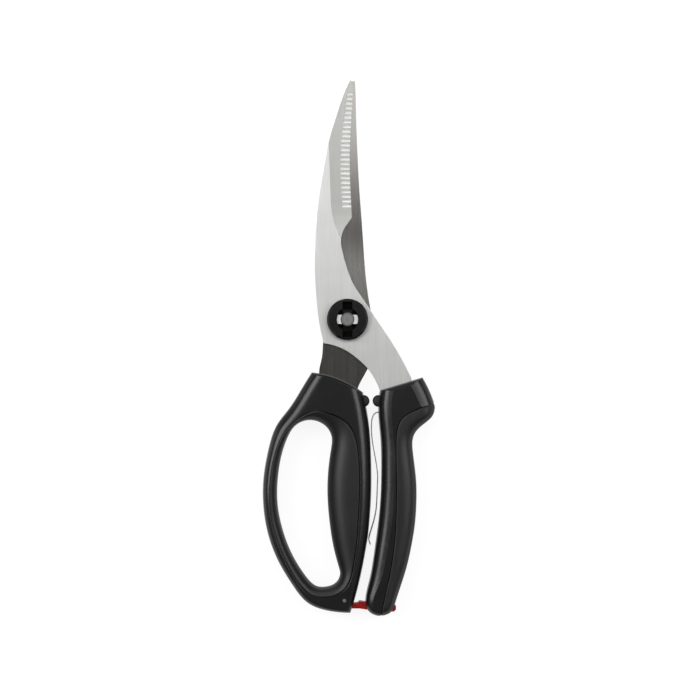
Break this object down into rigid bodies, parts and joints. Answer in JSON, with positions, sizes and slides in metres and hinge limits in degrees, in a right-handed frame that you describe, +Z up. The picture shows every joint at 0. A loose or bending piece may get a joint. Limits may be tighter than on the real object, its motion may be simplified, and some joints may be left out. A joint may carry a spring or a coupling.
{
  "type": "kitchen shears",
  "caption": "Sprung kitchen shears: curved blades with a bone notch and cutting flutes, take-apart keyhole pivot, soft-lined finger loop, thumb handle with a spur, and an end lock.",
  "frame": {"origin": "under the middle of the closed shears' outline, on the surface that they lie on", "axes": "+X from the finger loop to the thumb handle, +Y from the handles to the blade tips, +Z up out of the front blade"},
  "size_m": [0.0861, 0.2674, 0.018],
  "materials": {
    "satin_steel": "satin ground stainless steel",
    "polished_steel": "fine polished stainless steel",
    "bolt_steel": "turned stainless steel",
    "spring_steel": "rolled spring steel",
    "ring_black": "moulded, semi-gloss",
    "hard_black": "moulded, semi-gloss",
    "soft_black": "soft moulded grip, satin",
    "bumper_grey": "soft moulded stop",
    "lock_red": "moulded, semi-gloss"
  },
  "bodies": {
    "loop_half": {"back_blade": "polished_steel", "pivot_bolt": "bolt_steel", "pivot_washer": "bolt_steel", "loop_core": "hard_black", "loop_liner": "soft_black", "loop_bumper": "bumper_grey", "catch_pin": "bolt_steel"},
    "thumb_half": {"front_blade": "satin_steel", "keyhole_ring": "ring_black", "thumb_core": "hard_black", "thumb_pad": "soft_black", "thumb_bumper": "bumper_grey", "leaf_spring": "spring_steel", "lock_pin": "bolt_steel"},
    "lock": {"lock_lever": "lock_red"}
  },
  "joints": [
    {"name": "blade_pivot", "type": "hinge", "parent": "loop_half", "child": "thumb_half", "pos_m": [-0.00082, 0.014, 0.009], "axis": [0, 0, 1], "range_deg": [-2, 90], "stiffness_Nm_per_rad": 1.5, "springref_deg": 26.93, "deforming": ["leaf_spring"]},
    {"name": "lock_rock", "type": "hinge", "parent": "thumb_half", "child": "lock", "pos_m": [0.01269, -0.12961, 0.009], "axis": [0, 0, 1], "range_deg": [-6, 0]}
  ]
}
